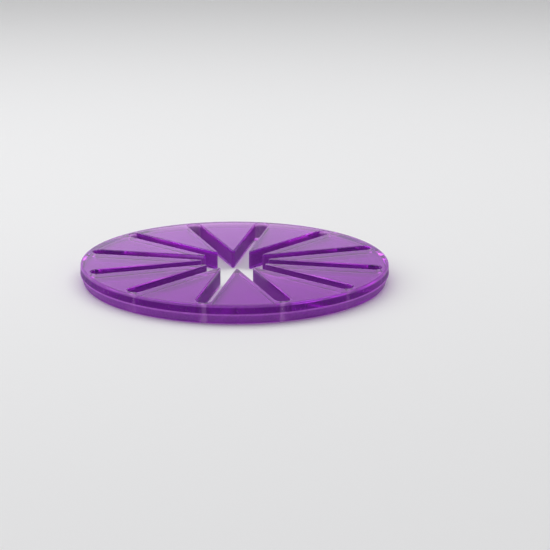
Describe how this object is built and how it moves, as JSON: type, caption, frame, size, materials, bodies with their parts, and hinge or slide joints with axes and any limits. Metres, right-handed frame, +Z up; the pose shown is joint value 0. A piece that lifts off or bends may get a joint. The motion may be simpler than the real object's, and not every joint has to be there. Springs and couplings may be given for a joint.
{
  "type": "stand mixer splash guard",
  "caption": "Thick clear disc with a star of radial slots that slides over the wire loops of a mixer's whisk and shields the bowl from splashes.",
  "frame": {"origin": "middle of the flat underside of the disc", "axes": "+Z runs up along the disc's axis, from the underside to the top face; X and Y each run along a pair of opposite slots"},
  "size_m": [0.165, 0.165, 0.01],
  "materials": {
    "clear_violet_plastic": "polished and see-through, tinted deep violet all the way through"
  },
  "bodies": {
    "root": {"splash_guard": "clear_violet_plastic"}
  },
  "joints": []
}
